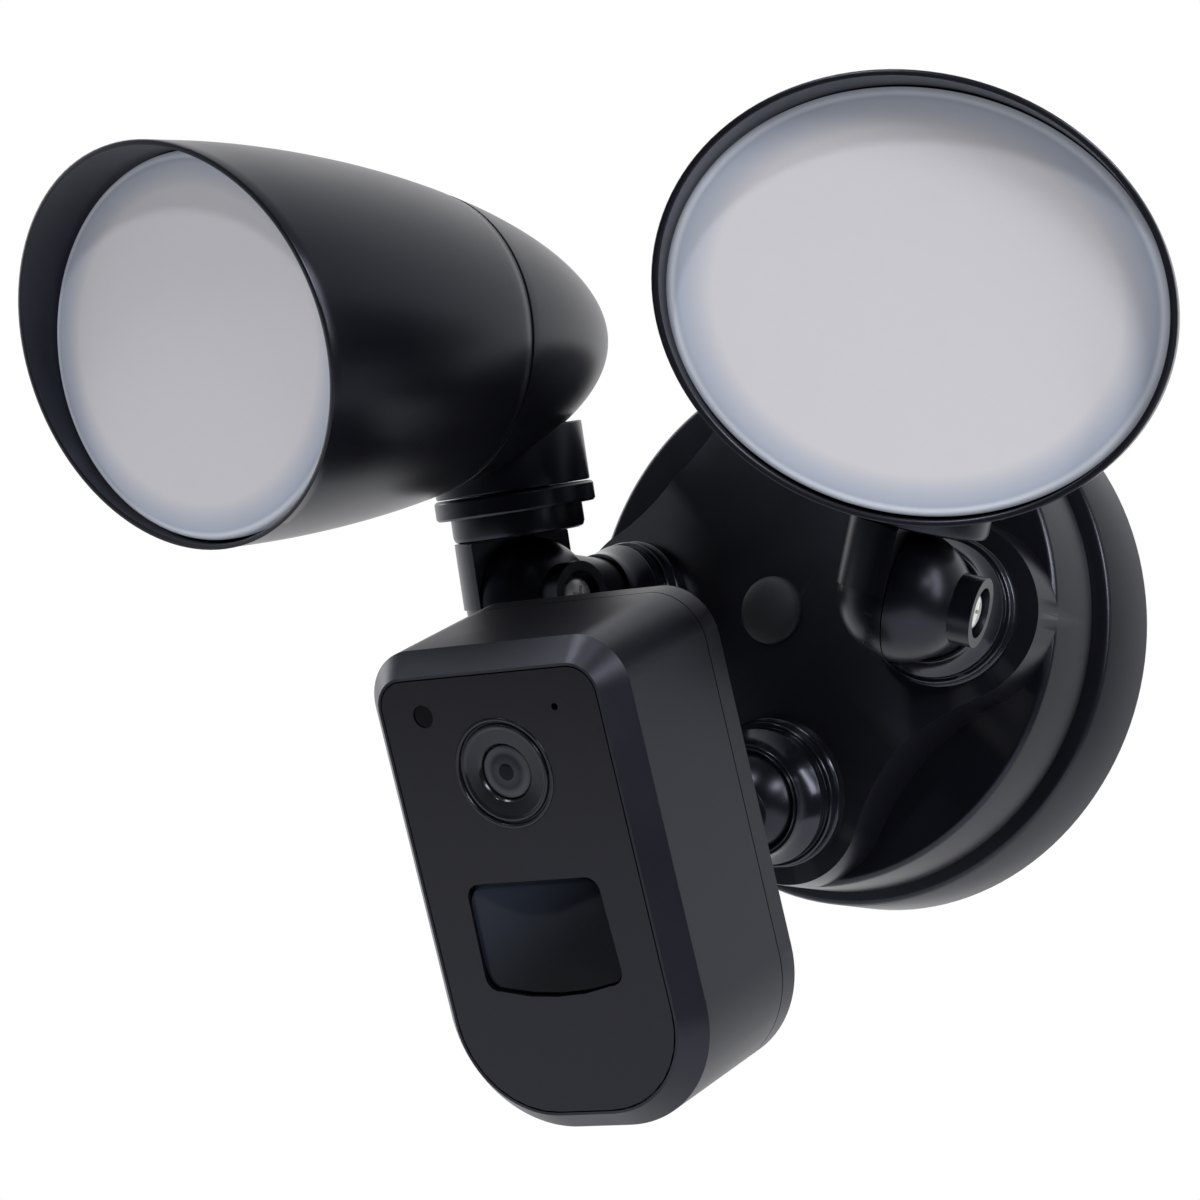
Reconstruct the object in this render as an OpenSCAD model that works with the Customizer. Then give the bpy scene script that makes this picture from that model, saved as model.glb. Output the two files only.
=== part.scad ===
// Twin-lamp floodlight camera on a round wall plate.
// Millimetres. The back of the wall plate lies in the plane Y = 0, its centre is the origin,
// the front faces -Y, +Z is up and +X is the viewer's right. Every group is drawn in its rest pose.

/* [Wall plate] */
// Radius of the wall base ring
base_r = 65; // [62:0.5:68]
// Depth of the base ring from the wall to its front edge
base_d = 21.6; // [20:0.1:24]
// Radius of the canopy shell
canopy_r = 62; // [61:0.1:63]
// Distance from the wall to the flat canopy face
face_d = 42.4; // [41:0.1:46]
// Gap left for the dark seal between base ring and canopy
groove_w = 2; // [1:0.1:3]
// Wall thickness of the plastic shells
shell_t = 2.4; // [2:0.1:3]

/* [Raised pad] */
// Distance from the plate centre to each lobe centre
lobe_at = 41; // [40:0.1:42]
// Radius of each lobe
lobe_r = 21; // [20:0.1:21]
// Outward tilt of the lobe faces
splay = 14.3; // [12:0.1:16]
// Distance from the wall to the lobe face at a collar axis
lobe_d = 55.8; // [54:0.1:58]
// Distance from the wall to the flat centre of the pad
crown_d = 62.5; // [61:0.1:64]

/* [Collars] */
// Distance from the plate centre to each collar axis
collar_at = 40.8; // [40:0.1:42]
// Radius of the lowest collar step
collar_r = 17.3; // [16.8:0.1:18]
// Height of a collar above its lobe
collar_h = 14; // [13.6:0.1:14.2]
// Radius of the bore that carries an arm trunnion
trunnion_bore_r = 9; // [8.6:0.1:9.4]

/* [Lamp arm] */
// Distance from the lobe face to the knuckle centre
arm_reach = 33.9; // [33:0.1:36]
// Radius of the arm tube
arm_r = 12; // [11:0.1:12]
// Radius of the arm's half ball
knuckle_r = 14.8; // [14:0.1:14.9]
// Distance from the knuckle centre to the outer end of the screw boss
boss_end = 17.7; // [17:0.1:19]
// Radius of the screw boss
boss_r = 7.8; // [7:0.1:8.5]

/* [Lamp link] */
// Radius of the half tube and its collar
link_r = 15.2; // [15:0.1:15.4]
// Height of the link collar's underside above the knuckle
link_z = 15.2; // [15.1:0.1:16]
// Height of the lock ring's underside above the knuckle
lock_z = 20.8; // [20.5:0.1:22]
// Height of the lock ring
lock_h = 4.6; // [4:0.1:5]
// Radius of the lock ring
lock_r = 18.4; // [18:0.1:19]

/* [Lamp head] */
// Half width of the head at its rim
head_a = 53; // [50:0.5:56]
// Half height of the head at its rim
head_b = 44.3; // [42:0.1:46]
// Height of the rim centre above the knuckle
head_z = 68; // [66:0.5:72]
// Distance from the link axis to the rim centre
head_front = 91.6; // [88:0.1:95]
// Distance from the link axis back to the tip of the tail
head_tail = 29.4; // [26:0.1:32]
// Rise of the head's own axis towards the front
head_rise = 5.4; // [4:0.1:7]
// Forward lean of the rim plane, which makes the upper edge a visor
rim_lean = 13.5; // [8:0.1:15]
// Distance from the link axis to the seam between shroud and rear cap
seam_at = 24; // [20:0.5:26]
// Depth of the lens behind the rim centre
lens_in = 6.5; // [5:0.1:8]
// Radius of the neck
neck_r = 17.8; // [17:0.1:18]

/* [Camera module] */
// Width of the dark face plate
face_w = 54.9; // [52:0.1:58]
// Height of the dark face plate
face_h = 97.3; // [94:0.1:100]
// Radius of the face plate's upper corners
face_rt = 6.2; // [5:0.1:8]
// Radius of the face plate's lower corners
face_rb = 20.8; // [18:0.1:23]
// Sideways growth of the bevel around the face plate
bevel_w = 5.5; // [4:0.1:7]
// Depth of that bevel
bevel_d = 5.4; // [4:0.1:7]
// Distance from the face plate to the rear cover seam
cover_at = 36.8; // [34:0.1:38]
// Distance from the face plate to the back of the rear cover
module_d = 45; // [44:0.1:47]
// Radius of the camera's ball
ball_r = 12.6; // [12.4:0.1:12.6]
// Distance from the ball centre to the back of the rear cover
stem_len = 48.9; // [46:0.1:54]
// Radius of the stem
stem_r = 7; // [6:0.1:7.2]

/* [Rest pose] */
// Turn of the left arm in its collar
left_arm_turn = -2; // [-10:0.5:10]
// Forward tilt of the left link
left_tilt = 13.7; // [0:0.1:20]
// Turn of the left head on its link
left_turn = -0.9; // [-10:0.1:10]
// Turn of the right arm in its collar
right_arm_turn = 12.6; // [0:0.1:14]
// Forward tilt of the right link
right_tilt = 9.5; // [0:0.1:20]
// Turn of the right head on its link
right_turn = 9.4; // [0:0.1:12]
// Downward tilt of the camera
camera_tilt = 22.5; // [15:0.1:28]
// Roll of the camera about its stem
camera_roll = -4.4; // [-8:0.1:8]

/* [Hidden] */
$fn = 96;
gap = 0.3;
eps = 0.01;
gasket_t = 2;
strap_t = 2;
strap_l = 104;
strap_w = 18;
strap_slot_at = 44.45;
strap_slot_l = 10;
screw4_r = 2.1;
mount_screw_at = 34.9;
base_web_y = base_d - shell_t;
apex_d = lobe_d + collar_at * tan(splay);
trunnion_r = trunnion_bore_r - gap;
recess_r = arm_r + gap;
bolt_seat = 4.4;
oval_k = head_b / head_a;
body_z = head_z - head_front * tan(head_rise);
body_len = head_front + head_tail;
hood_t = 1.6;
lens_a = head_a - 1.9;
lens_b = head_b - 1.9;
lens_z = head_z - 0.6;
lens_y = head_front - lens_in;
lens_t = 3;
gasket_w = 1.5;
neck_z = lock_z + lock_h + gap;
neck_floor = 6;
led_front = lens_y - lens_t - 13;
board_screw_at = [[28, 0], [-28, 0], [0, 18], [0, -18]];
seam_q = seam_at + head_tail;
ball_h = 8;
socket_r = 13.8;
post_at = [[-23.5, 37], [23.5, 37], [-17, -34], [17, -34]];
stem_drop = 9;
eye_z = 27;
eye_r = 12.2;
pir_z = -9.5;
pir_w = 35;
pir_h = 25;

black = [0.07, 0.07, 0.08];
steel = [0.75, 0.75, 0.77];
board = [0.1, 0.35, 0.2];
white = [0.92, 0.92, 0.93];
glass = [0.15, 0.17, 0.25];
rubber = [0.04, 0.04, 0.04];

// ---------- shared shapes ----------

// Cylinder along -Y from depth d0 to depth d1.
module rod_y(r, d0, d1) {
    translate([0, -d0, 0])
        rotate([90, 0, 0])
            cylinder(r = r, h = d1 - d0);
}

// Cylinder along +X from x0 to x1.
module rod_x(r, x0, x1) {
    translate([x0, 0, 0])
        rotate([0, 90, 0])
            cylinder(r = r, h = x1 - x0);
}

// Profile [radius, depth] turned about the Y axis, depth running towards -Y.
module turn_y(points) {
    rotate([90, 0, 0])
        rotate_extrude()
            polygon(points);
}

// Slab between depths d0 and d1 of the child outline, drawn in X and Z.
module slab_y(d0, d1) {
    translate([0, -d0, 0])
        rotate([90, 0, 0])
            linear_extrude(d1 - d0)
                children();
}

// Four-lobed outline of the raised pad, moved inwards by t.
module pad_outline(t = 0) {
    u = 72.6;
    waist_r = 58.2 + t;
    r = lobe_r - t;
    k = lobe_r + 58.2;
    tx = lobe_at + r * (u - lobe_at) / k;
    tz = r * u / k;
    difference() {
        polygon([[tx, tz], [tz, tx], [-tz, tx], [-tx, tz], [-tx, -tz], [-tz, -tx], [tz, -tx], [tx, -tz]]);
        for (a = [45 : 90 : 315])
            rotate(a)
                translate([u * sqrt(2), 0])
                    circle(r = waist_r);
    }
    for (a = [0 : 90 : 270])
        rotate(a)
            translate([lobe_at, 0])
                circle(r = r);
}

// Block in front of the wall whose front is cut by the four sloping lobe planes, t below them.
module pad_roof(t = 0) {
    difference() {
        slab_y(0, crown_d - t)
            square(2 * base_r, center = true);
        for (a = [0 : 90 : 270])
            rotate([0, a, 0])
                translate([0, -apex_d + t / cos(splay), 0])
                    rotate([0, 0, splay])
                        translate([0, -50, -100])
                            cube([200, 50, 200]);
    }
}

// ---------- frames ----------

// Collar frame: origin on the lobe face, -Y along the collar axis. Side -1 is left, +1 is right.
module lamp_base(s) {
    translate([s * collar_at, -lobe_d, 0])
        rotate([0, 0, s * splay])
            children();
}

module camera_base() {
    translate([0, -lobe_d, -collar_at])
        rotate([splay, 0, 0])
            children();
}

module arm_frame(s) {
    lamp_base(s)
        rotate([0, s < 0 ? left_arm_turn : right_arm_turn, 0])
            children();
}

module link_frame(s) {
    arm_frame(s)
        translate([0, -arm_reach, 0])
            rotate([s < 0 ? left_tilt : right_tilt, 0, 0])
                children();
}

module head_frame(s) {
    link_frame(s)
        rotate([0, 0, s < 0 ? left_turn : right_turn])
            children();
}

// Head's own axis: -Y runs to the rim, Z is squeezed so that circles become the head's ovals.
module body_frame() {
    translate([0, 0, body_z])
        rotate([-head_rise, 0, 0])
            scale([1, 1, oval_k])
                children();
}

module stem_frame() {
    camera_base()
        translate([0, -ball_h, 0])
            rotate([camera_tilt - splay, 0, 0])
                children();
}

// Camera module frame: origin at the middle of the face plate.
module module_frame() {
    stem_frame()
        rotate([0, camera_roll, 0])
            translate([0, -stem_len - module_d, stem_drop])
                children();
}

// ---------- wall plate ----------

module wall_gasket() {
    color(rubber)
        turn_y([[57, 0], [64, 0], [64, gasket_t], [57, gasket_t]]);
}

module crossbar() {
    color(steel)
        difference() {
            slab_y(0, strap_t)
                square([strap_l, strap_w], center = true);
            for (s = [-1, 1]) {
                slab_y(-1, strap_t + 1) {
                    translate([s * strap_slot_at, 0])
                        square([strap_slot_l - 2 * screw4_r, 2 * screw4_r], center = true);
                    for (e = [-1, 1])
                        translate([s * strap_slot_at + e * (strap_slot_l / 2 - screw4_r), 0])
                            circle(r = screw4_r);
                }
                translate([s * mount_screw_at, 0, 0])
                    rod_y(1.9, -1, strap_t + 1);
            }
            rod_y(2.9, -1, strap_t + 1);
        }
}

// Cup that carries everything: outer wall, front web with wire opening, two screw posts.
module base_ring() {
    color(black)
        difference() {
            union() {
                turn_y([[base_r - shell_t, gasket_t], [base_r, gasket_t], [base_r, base_d - 1.4],
                    [base_r - 0.35, base_d - 0.5], [base_r - 1.2, base_d], [24, base_d], [24, base_web_y],
                    [base_r - shell_t, base_web_y]]);
                turn_y([[56.5, gasket_t], [63.5, gasket_t], [63.5, gasket_t + 2], [56.5, gasket_t + 2]]);
                for (s = [-1, 1])
                    translate([s * mount_screw_at, 0, 0])
                        rod_y(4.6, strap_t, base_web_y + eps);
            }
            for (s = [-1, 1])
                translate([s * mount_screw_at, 0, 0])
                    rod_y(2.2, strap_t - 1, base_d + 1);
        }
}

module mount_screws() {
    color(steel)
        for (s = [-1, 1])
            translate([s * mount_screw_at, 0, 0])
                difference() {
                    union() {
                        rod_y(1.85, 0.2, base_d + eps);
                        rod_y(3.8, base_d, base_d + 2.2);
                    }
                    for (a = [0, 90])
                        rotate([0, a, 0])
                            translate([-2.2, -base_d - 3, -0.4])
                                cube([4.4, 2, 0.8]);
                }
}

module canopy_seal() {
    color(rubber)
        turn_y([[54, base_d], [60.6, base_d], [60.6, base_d + groove_w], [54, base_d + groove_w]]);
}

// Front shell: drum with a rounded front edge and the raised four-lobed pad.
module canopy() {
    back = base_d + groove_w;
    edge = 1.6;
    arc = [for (a = [0 : 15 : 90]) [canopy_r - edge + edge * cos(a), face_d - edge + edge * sin(a)]];
    color(black)
        difference() {
            union() {
                difference() {
                    union() {
                        turn_y(concat([[0, back], [canopy_r - 0.8, back], [canopy_r, back + 0.8]], arc,
                            [[0, face_d]]));
                        intersection() {
                            slab_y(back + 1, crown_d + 1)
                                pad_outline();
                            pad_roof();
                        }
                    }
                    rod_y(canopy_r - shell_t, back - 1, face_d - shell_t);
                    intersection() {
                        slab_y(back, crown_d)
                            pad_outline(shell_t);
                        pad_roof(shell_t);
                    }
                }
                rod_y(9, crown_d - bolt_seat - 2.5, crown_d - 1);
            }
            for (s = [-1, 1])
                lamp_base(s)
                    rod_y(13.1, -12, 4);
            camera_base()
                rod_y(13.9, -12, 4);
            rod_y(3.1, back, crown_d + 1);
            rod_y(6, crown_d - bolt_seat, crown_d + 1);
        }
}

// Stepped collar; bore_points is the inside of the profile from front to back.
module collar(bore_points, tail_r) {
    turn_y(concat(
        [[tail_r, -6], [tail_r, 0], [collar_r, 0], [collar_r, 2.4], [collar_r - 0.3, 2.8], [16.8, 2.8],
            [16.8, 5.1], [16.5, 5.4], [15.7, 5.4], [15.7, 8], [14.9, 9.2], [14.1, 10.6], [13.5, 12],
            [13.2, 13.4], [13, collar_h]],
        bore_points));
}

module lamp_collar(s) {
    color(black)
        lamp_base(s)
            collar([[recess_r, collar_h], [recess_r, 11], [trunnion_bore_r, 11], [trunnion_bore_r, -6]], 12.9);
}

// The camera's collar has a spherical seat instead of a plain bore.
module camera_collar() {
    seat = [for (a = [28 : -12 : -68]) [socket_r * cos(a), ball_h + socket_r * sin(a)]];
    color(black)
        camera_base()
            collar(concat([[11.4, collar_h]], seat, [[5.2, -6]]), 13.7);
}

module center_bolt() {
    color(steel)
        difference() {
            union() {
                rod_y(2.85, 0.4, crown_d - bolt_seat + eps);
                rod_y(4.6, crown_d - bolt_seat, crown_d - bolt_seat + 2.2);
            }
            for (a = [0, 90])
                rotate([0, a, 0])
                    translate([-3, -crown_d + bolt_seat - 3, -0.5])
                        cube([6, 2, 1]);
        }
}

module bolt_plug() {
    dome = [for (a = [0 : 10 : 90]) [7.8 * cos(a), crown_d + 0.6 + 2.2 * sin(a)]];
    color(rubber)
        turn_y(concat([[0, crown_d - 1.6], [5.8, crown_d - 1.6], [5.8, crown_d], [7.8, crown_d]], dome));
}

module driver_board() {
    color(board)
        difference() {
            rod_y(50, base_d + 6, base_d + 7.6);
            rod_y(9, base_d + 5, base_d + 9);
            for (s = [-1, 1])
                translate([s * mount_screw_at, 0, 0])
                    rod_y(5, base_d + 5, base_d + 9);
        }
}

// Transformer, two capacitors, a choke, a row of diodes and a three-way terminal block on the board.
module driver_parts() {
    top = base_d + 7.6;
    color([0.3, 0.3, 0.2])
        union() {
            translate([-10, -top - 9, 18])
                cube([20, 9, 16]);
            for (s = [-1, 1])
                translate([s * 22, 0, 24])
                    rod_y(4.5, top, top + 10);
            translate([20, 0, -26])
                rod_y(6, top, top + 7);
            for (i = [0 : 3])
                translate([-34 + 7 * i, -top - 2.5, -24])
                    cube([3, 2.5, 6]);
            difference() {
                translate([-15, -top - 10, -38])
                    cube([24, 10, 9]);
                for (i = [0 : 2])
                    translate([-11 + 8 * i, 0, -33.5])
                        rod_y(2, top + 4, top + 11);
            }
        }
}

// ---------- lamp arm and link ----------

// Tube, half ball and screw boss. The half ball is on the +X side of the split.
module lamp_arm(s) {
    relief = knuckle_r + gap + 0.2;
    color(black)
        arm_frame(s)
            difference() {
                union() {
                    rod_y(trunnion_r, -9.8, 11.4);
                    rod_y(arm_r, 11.3, arm_reach);
                    translate([0, -arm_reach, 0]) {
                        sphere(r = knuckle_r);
                        rod_x(boss_r, 5, boss_end);
                    }
                }
                translate([0, -arm_reach, 0]) {
                    rod_x(19.6, -20, 0.15);
                    rod_x(5.6, boss_end - 3, boss_end + 1);
                    rod_x(2.7, -1, boss_end);
                    translate([-20, -relief, -relief])
                        cube([20.15, 2 * relief, 2 * relief]);
                }
                rod_y(4.5, -11, arm_reach - 8);
            }
}

module arm_nut(s) {
    color(steel)
        arm_frame(s)
            translate([0, 9.7, 0])
                rotate([90, 0, 0])
                    difference() {
                        cylinder(r = 11.6, h = 3.3, $fn = 6);
                        translate([0, 0, -1])
                            cylinder(r = trunnion_r, h = 6);
                    }
}

module knuckle_screw(s) {
    seat = boss_end - 2.9;
    crown = [for (a = [0 : 15 : 90]) [4.1 * cos(a), seat + 1.1 + 1.3 * sin(a)]];
    color(steel)
        arm_frame(s)
            translate([0, -arm_reach, 0])
                difference() {
                    rotate([0, 90, 0])
                        rotate_extrude()
                            polygon(concat([[0, 0.4], [2.45, 0.4], [2.45, seat], [4.1, seat]], crown));
                    for (a = [0, 90])
                        rotate([a, 0, 0])
                            translate([seat + 1, -2.2, -0.45])
                                cube([3, 4.4, 0.9]);
                }
}

// Half ball and half tube on the -X side, then a full collar that the lock ring sits on.
module lamp_link(s) {
    split = -0.15;
    color(black)
        link_frame(s)
            difference() {
                union() {
                    difference() {
                        union() {
                            sphere(r = link_r - 0.5);
                            cylinder(r = link_r, h = link_z + eps);
                        }
                        translate([split, -30, -30])
                            cube([60, 60, 90]);
                        rotate([0, 90, 0])
                            translate([0, 0, -30])
                                difference() {
                                    cylinder(r = 40, h = 60);
                                    translate([0, 0, -1])
                                        cylinder(r = 21, h = 62);
                                }
                    }
                    translate([0, 0, link_z])
                        rotate_extrude()
                            polygon([[0, 0], [link_r - 1.4, 0], [link_r - 0.4, 0.4], [link_r, 1.4],
                                [link_r, lock_z - link_z], [0, lock_z - link_z]]);
                    cylinder(r = trunnion_r, h = neck_z + 11);
                }
                translate([split, -30, -30])
                    cube([60, 60, 30 + link_z]);
                translate([0, 0, 4])
                    cylinder(r = 4.5, h = 40);
                rod_x(2.7, -30, 1);
                rod_x(5.1, -30, -8);
            }
}

module knuckle_nut(s) {
    color(steel)
        link_frame(s)
            translate([-11.6, 0, 0])
                rotate([0, 90, 0])
                    difference() {
                        cylinder(r = 4.9, h = 3.4, $fn = 6);
                        translate([0, 0, -1])
                            cylinder(r = 2.45, h = 6);
                    }
}

module lock_ring(s) {
    color(black)
        link_frame(s)
            translate([0, 0, lock_z])
                rotate_extrude()
                    polygon([[trunnion_r, 0], [lock_r - 0.5, 0], [lock_r, 0.5], [lock_r, lock_h - 0.5],
                        [lock_r - 0.5, lock_h], [trunnion_r, lock_h]]);
}

// Nut above the neck's floor that keeps the head on the link.
module neck_nut(s) {
    color(steel)
        link_frame(s)
            translate([0, 0, neck_z + neck_floor + gap])
                difference() {
                    cylinder(r = 11.6, h = 3.3, $fn = 6);
                    translate([0, 0, -1])
                        cylinder(r = trunnion_r, h = 6);
                }
}

// ---------- lamp head ----------

// Radius of the head at distance q in front of the tail tip, as a fraction of the rim radius.
function bullet(q) = pow(1 - pow(max(0, 1 - q / body_len), 1.76), 1 / 1.85);

// Outline of the bullet between distances q0 and q1 from the tail tip, moved inwards by t.
function bullet_points(q0, q1, t, n) = [for (i = [0 : n])
    let (q = q0 + (q1 - q0) * pow(i / n, q0 < 1 ? 2 : 1))
    [max(0, head_a * bullet(q) - t), q - head_tail]];

module bullet_solid(q0, q1, t, n) {
    turn_y(concat([[0, q0 - head_tail]], bullet_points(max(q0, 0.02), q1, t, n), [[0, q1 - head_tail]]));
}

// Everything in front of the leaning rim plane.
module rim_cut() {
    translate([0, -head_front, head_z])
        rotate([rim_lean - head_rise, 0, 0])
            translate([-80, -60, -80])
                cube([160, 60, 160]);
}

module shroud(s) {
    color(black)
        head_frame(s)
            difference() {
                body_frame()
                    difference() {
                        bullet_solid(seam_q, body_len + 8, 0, 9);
                        bullet_solid(seam_q - 1, body_len + 9, hood_t, 9);
                    }
                rim_cut();
            }
}

// Tail of the bullet with the neck that stands on the lock ring and a lip inside the shroud.
module rear_cap(s) {
    lip_r = head_a * bullet(seam_q) - shell_t;
    color(black)
        head_frame(s)
            difference() {
                union() {
                    difference() {
                        union() {
                            body_frame()
                                bullet_solid(0, seam_q - 0.4, 0, 12);
                            translate([0, 0, neck_z])
                                cylinder(r = neck_r, h = body_z - neck_z);
                        }
                        body_frame()
                            bullet_solid(3, seam_q + 1, shell_t, 10);
                    }
                    body_frame()
                        turn_y([[lip_r - 1.6, seam_at - 4], [lip_r + 0.8, seam_at - 4],
                            [lip_r + 0.3, seam_at - 0.5], [lip_r + 0.3, seam_at + 4], [lip_r - 1.6, seam_at + 4]]);
                }
                translate([0, 0, neck_z - 1])
                    cylinder(r = trunnion_bore_r, h = neck_floor + 2);
                translate([0, 0, neck_z + neck_floor])
                    cylinder(r = 13.5, h = 22);
            }
}

module lens(s) {
    color(white)
        head_frame(s)
            translate([0, 0, lens_z])
                slab_y(lens_y - lens_t, lens_y)
                    scale([lens_a, lens_b])
                        circle(r = 1);
}

module lens_gasket(s) {
    back = lens_y - lens_t - gasket_w;
    color(rubber)
        head_frame(s)
            translate([0, 0, lens_z])
                slab_y(back, back + gasket_w)
                    difference() {
                        scale([lens_a - 1, lens_b - 1])
                            circle(r = 1);
                        scale([lens_a - 5, lens_b - 5])
                            circle(r = 1);
                    }
}

// Shallow white bowl behind the lens with an opening for the LED board.
module reflector(s) {
    color(white)
        head_frame(s)
            translate([0, 0, lens_z])
                difference() {
                    slab_y(led_front, lens_y - lens_t)
                        scale([lens_a - 5.4, lens_b - 5.8])
                            circle(r = 1);
                    slab_y(led_front + 1.4, lens_y)
                        scale([lens_a - 7, lens_b - 7.4])
                            circle(r = 1);
                    slab_y(led_front - 1, led_front + 2)
                        scale([34, 25])
                            circle(r = 1);
                }
}

module led_board(s) {
    color(white)
        head_frame(s)
            translate([0, 0, lens_z])
                difference() {
                    slab_y(led_front - 1.6, led_front)
                        scale([39, 30])
                            circle(r = 1);
                    for (p = board_screw_at)
                        translate([p[0], 0, p[1]])
                            rod_y(1.5, led_front - 3, led_front + 1);
                }
}

module leds(s) {
    color([0.95, 0.85, 0.4])
        head_frame(s)
            translate([0, 0, lens_z])
                for (i = [-2 : 2], k = [-1 : 1])
                    translate([i * 10.5 - 1.4, -led_front - 0.8, k * 11 - 1.4])
                        cube([2.8, 0.8, 2.8]);
}

module heat_sink(s) {
    front = led_front - 1.6;
    color(steel)
        head_frame(s)
            translate([0, 0, lens_z])
                difference() {
                    union() {
                        slab_y(front - 4, front)
                            scale([36, 27])
                                circle(r = 1);
                        for (i = [-3 : 3])
                            translate([i * 8 - 0.9, -front + 4 - eps, -17 + 2.2 * abs(i)])
                                cube([1.8, 14 - 2 * abs(i), 34 - 4.4 * abs(i)]);
                    }
                    for (p = board_screw_at)
                        translate([p[0], 0, p[1]])
                            rod_y(1.5, front - 3.4, front + 1);
                }
}

// Four screws that clamp the LED board to the heat sink.
module board_screws(s) {
    color(steel)
        head_frame(s)
            translate([0, 0, lens_z])
                for (p = board_screw_at)
                    translate([p[0], 0, p[1]]) {
                        rod_y(1.4, led_front - 4.8, led_front + eps);
                        rod_y(2.5, led_front, led_front + 1.3);
                    }
}

// ---------- camera ----------

// Half-ball friction cup behind the ball.
module ball_liner() {
    outer = [for (a = [-10 : -10 : -60]) [(socket_r - gap) * cos(a), (socket_r - gap) * sin(a)]];
    inner = [for (a = [-60 : 10 : -10]) [(ball_r + gap) * cos(a), (ball_r + gap) * sin(a)]];
    color([0.3, 0.3, 0.3])
        camera_base()
            translate([0, -ball_h, 0])
                turn_y(concat(outer, inner));
}

// Ball, stem and the disc that the module turns on.
module ball_stem() {
    foot = stem_len + 2.8;
    color(black)
        stem_frame()
            difference() {
                union() {
                    sphere(r = ball_r);
                    rod_y(stem_r, 0, foot + eps);
                    turn_y([[0, stem_len - 9], [stem_r, stem_len - 9], [10.5, stem_len - 1.2],
                        [10.5, stem_len - gap], [0, stem_len - gap]]);
                    rod_y(10, foot, foot + 2);
                }
                rod_y(3, -ball_r - 1, foot + 3);
            }
}

// Rounded outline of the module: upper corner radius rt, lower corner radius rb, grown by g.
module module_outline(g = 0) {
    w = face_w / 2;
    h = face_h / 2;
    for (s = [-1, 1]) {
        translate([s * (w - face_rt), h - face_rt])
            circle(r = face_rt + g);
        translate([s * (w - face_rb), -h + face_rb])
            circle(r = face_rb + g);
    }
    polygon([[w + g, h - face_rt], [w + g, -h + face_rb], [-w - g, -h + face_rb], [-w - g, h - face_rt]]);
    translate([-w + face_rt, 0])
        square([face_w - 2 * face_rt, h + g]);
    translate([-w + face_rb, -h - g])
        square([face_w - 2 * face_rb, h + g]);
}

// Quarter circle of radius r about a corner centre, starting at angle a.
function arc(centre, r, a) = [for (i = [0 : 8]) centre + r * [cos(a + i * 11.25), sin(a + i * 11.25)]];

// The same rounded outline as one ring of points, for thin plates and seals.
module arc_outline(g) {
    w = face_w / 2;
    h = face_h / 2;
    polygon(concat(
        arc([w - face_rt, h - face_rt], face_rt + g, 0), arc([-w + face_rt, h - face_rt], face_rt + g, 90),
        arc([-w + face_rb, -h + face_rb], face_rb + g, 180), arc([w - face_rb, -h + face_rb], face_rb + g, 270)));
}

// Bevelled block: the outline grown by g0 at depth 0 and by g1 at depth d, towards +Y.
module bevel_block(g0, g1, d) {
    w = face_w / 2;
    h = face_h / 2;
    for (s = [-1, 1]) {
        translate([s * (w - face_rt), 0, h - face_rt])
            rotate([-90, 0, 0])
                cylinder(r1 = face_rt + g0, r2 = face_rt + g1, h = d);
        translate([s * (w - face_rb), 0, -h + face_rb])
            rotate([-90, 0, 0])
                cylinder(r1 = face_rb + g0, r2 = face_rb + g1, h = d);
    }
    translate([0, 0, -h + face_rb])
        linear_extrude(face_h - face_rb - face_rt)
            polygon([[-w - g0, 0], [w + g0, 0], [w + g1, d], [-w - g1, d]]);
    translate([-w + face_rt, 0, 0])
        rotate([90, 0, 90])
            linear_extrude(face_w - 2 * face_rt)
                polygon([[0, 0], [0, h + g0], [d, h + g1], [d, 0]]);
    translate([-w + face_rb, 0, 0])
        rotate([90, 0, 90])
            linear_extrude(face_w - 2 * face_rb)
                polygon([[0, 0], [0, -h - g0], [d, -h - g1], [d, 0]]);
}

// Slab of the module outline between depths d0 and d1 behind the face, grown by g.
module module_slab(d0, d1, g) {
    translate([0, d1, 0])
        rotate([90, 0, 0])
            linear_extrude(d1 - d0)
                module_outline(g);
}

module module_shell() {
    seat_d = 2.4;
    color(black)
        module_frame()
            difference() {
                union() {
                    difference() {
                        union() {
                            bevel_block(0.9, bevel_w, bevel_d);
                            module_slab(bevel_d - eps, cover_at - 0.3, bevel_w);
                        }
                        module_slab(-1, seat_d, 0.3);
                        module_slab(seat_d + 2, cover_at + 1, bevel_w - shell_t);
                    }
                    for (p = post_at)
                        translate([p[0], 0, p[1]])
                            rod_y(3.4, -module_d + shell_t + 0.1, -seat_d - 1);
                }
                for (p = post_at)
                    translate([p[0], 0, p[1]])
                        rod_y(1.5, -module_d, -26);
                translate([0, 0, eye_z])
                    rod_y(9.6, -6, 1);
                translate([0, 0, pir_z])
                    slab_y(-6, 1)
                        square([pir_w - 4, pir_h - 4], center = true);
                translate([-17.2, 0, 40.8])
                    rod_y(1.8, -6, 1);
                translate([16.6, 0, 40.4])
                    rod_y(0.8, -6, 1);
            }
}

module module_cover() {
    color(black)
        module_frame()
            difference() {
                union() {
                    module_slab(cover_at, module_d - 3, bevel_w);
                    translate([0, module_d, 0])
                        mirror([0, 1, 0])
                            bevel_block(bevel_w - 2.2, bevel_w, 3 + eps);
                }
                module_slab(cover_at - 1, module_d - shell_t, bevel_w - shell_t);
                translate([0, 0, -stem_drop])
                    rod_y(stem_r + gap, -module_d - 1, -module_d + 5);
                for (p = post_at)
                    translate([p[0], 0, p[1]]) {
                        rod_y(1.6, -module_d - 1, -module_d + 5);
                        rod_y(2.9, -module_d - 1, -module_d + 1.6);
                    }
            }
}

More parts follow.
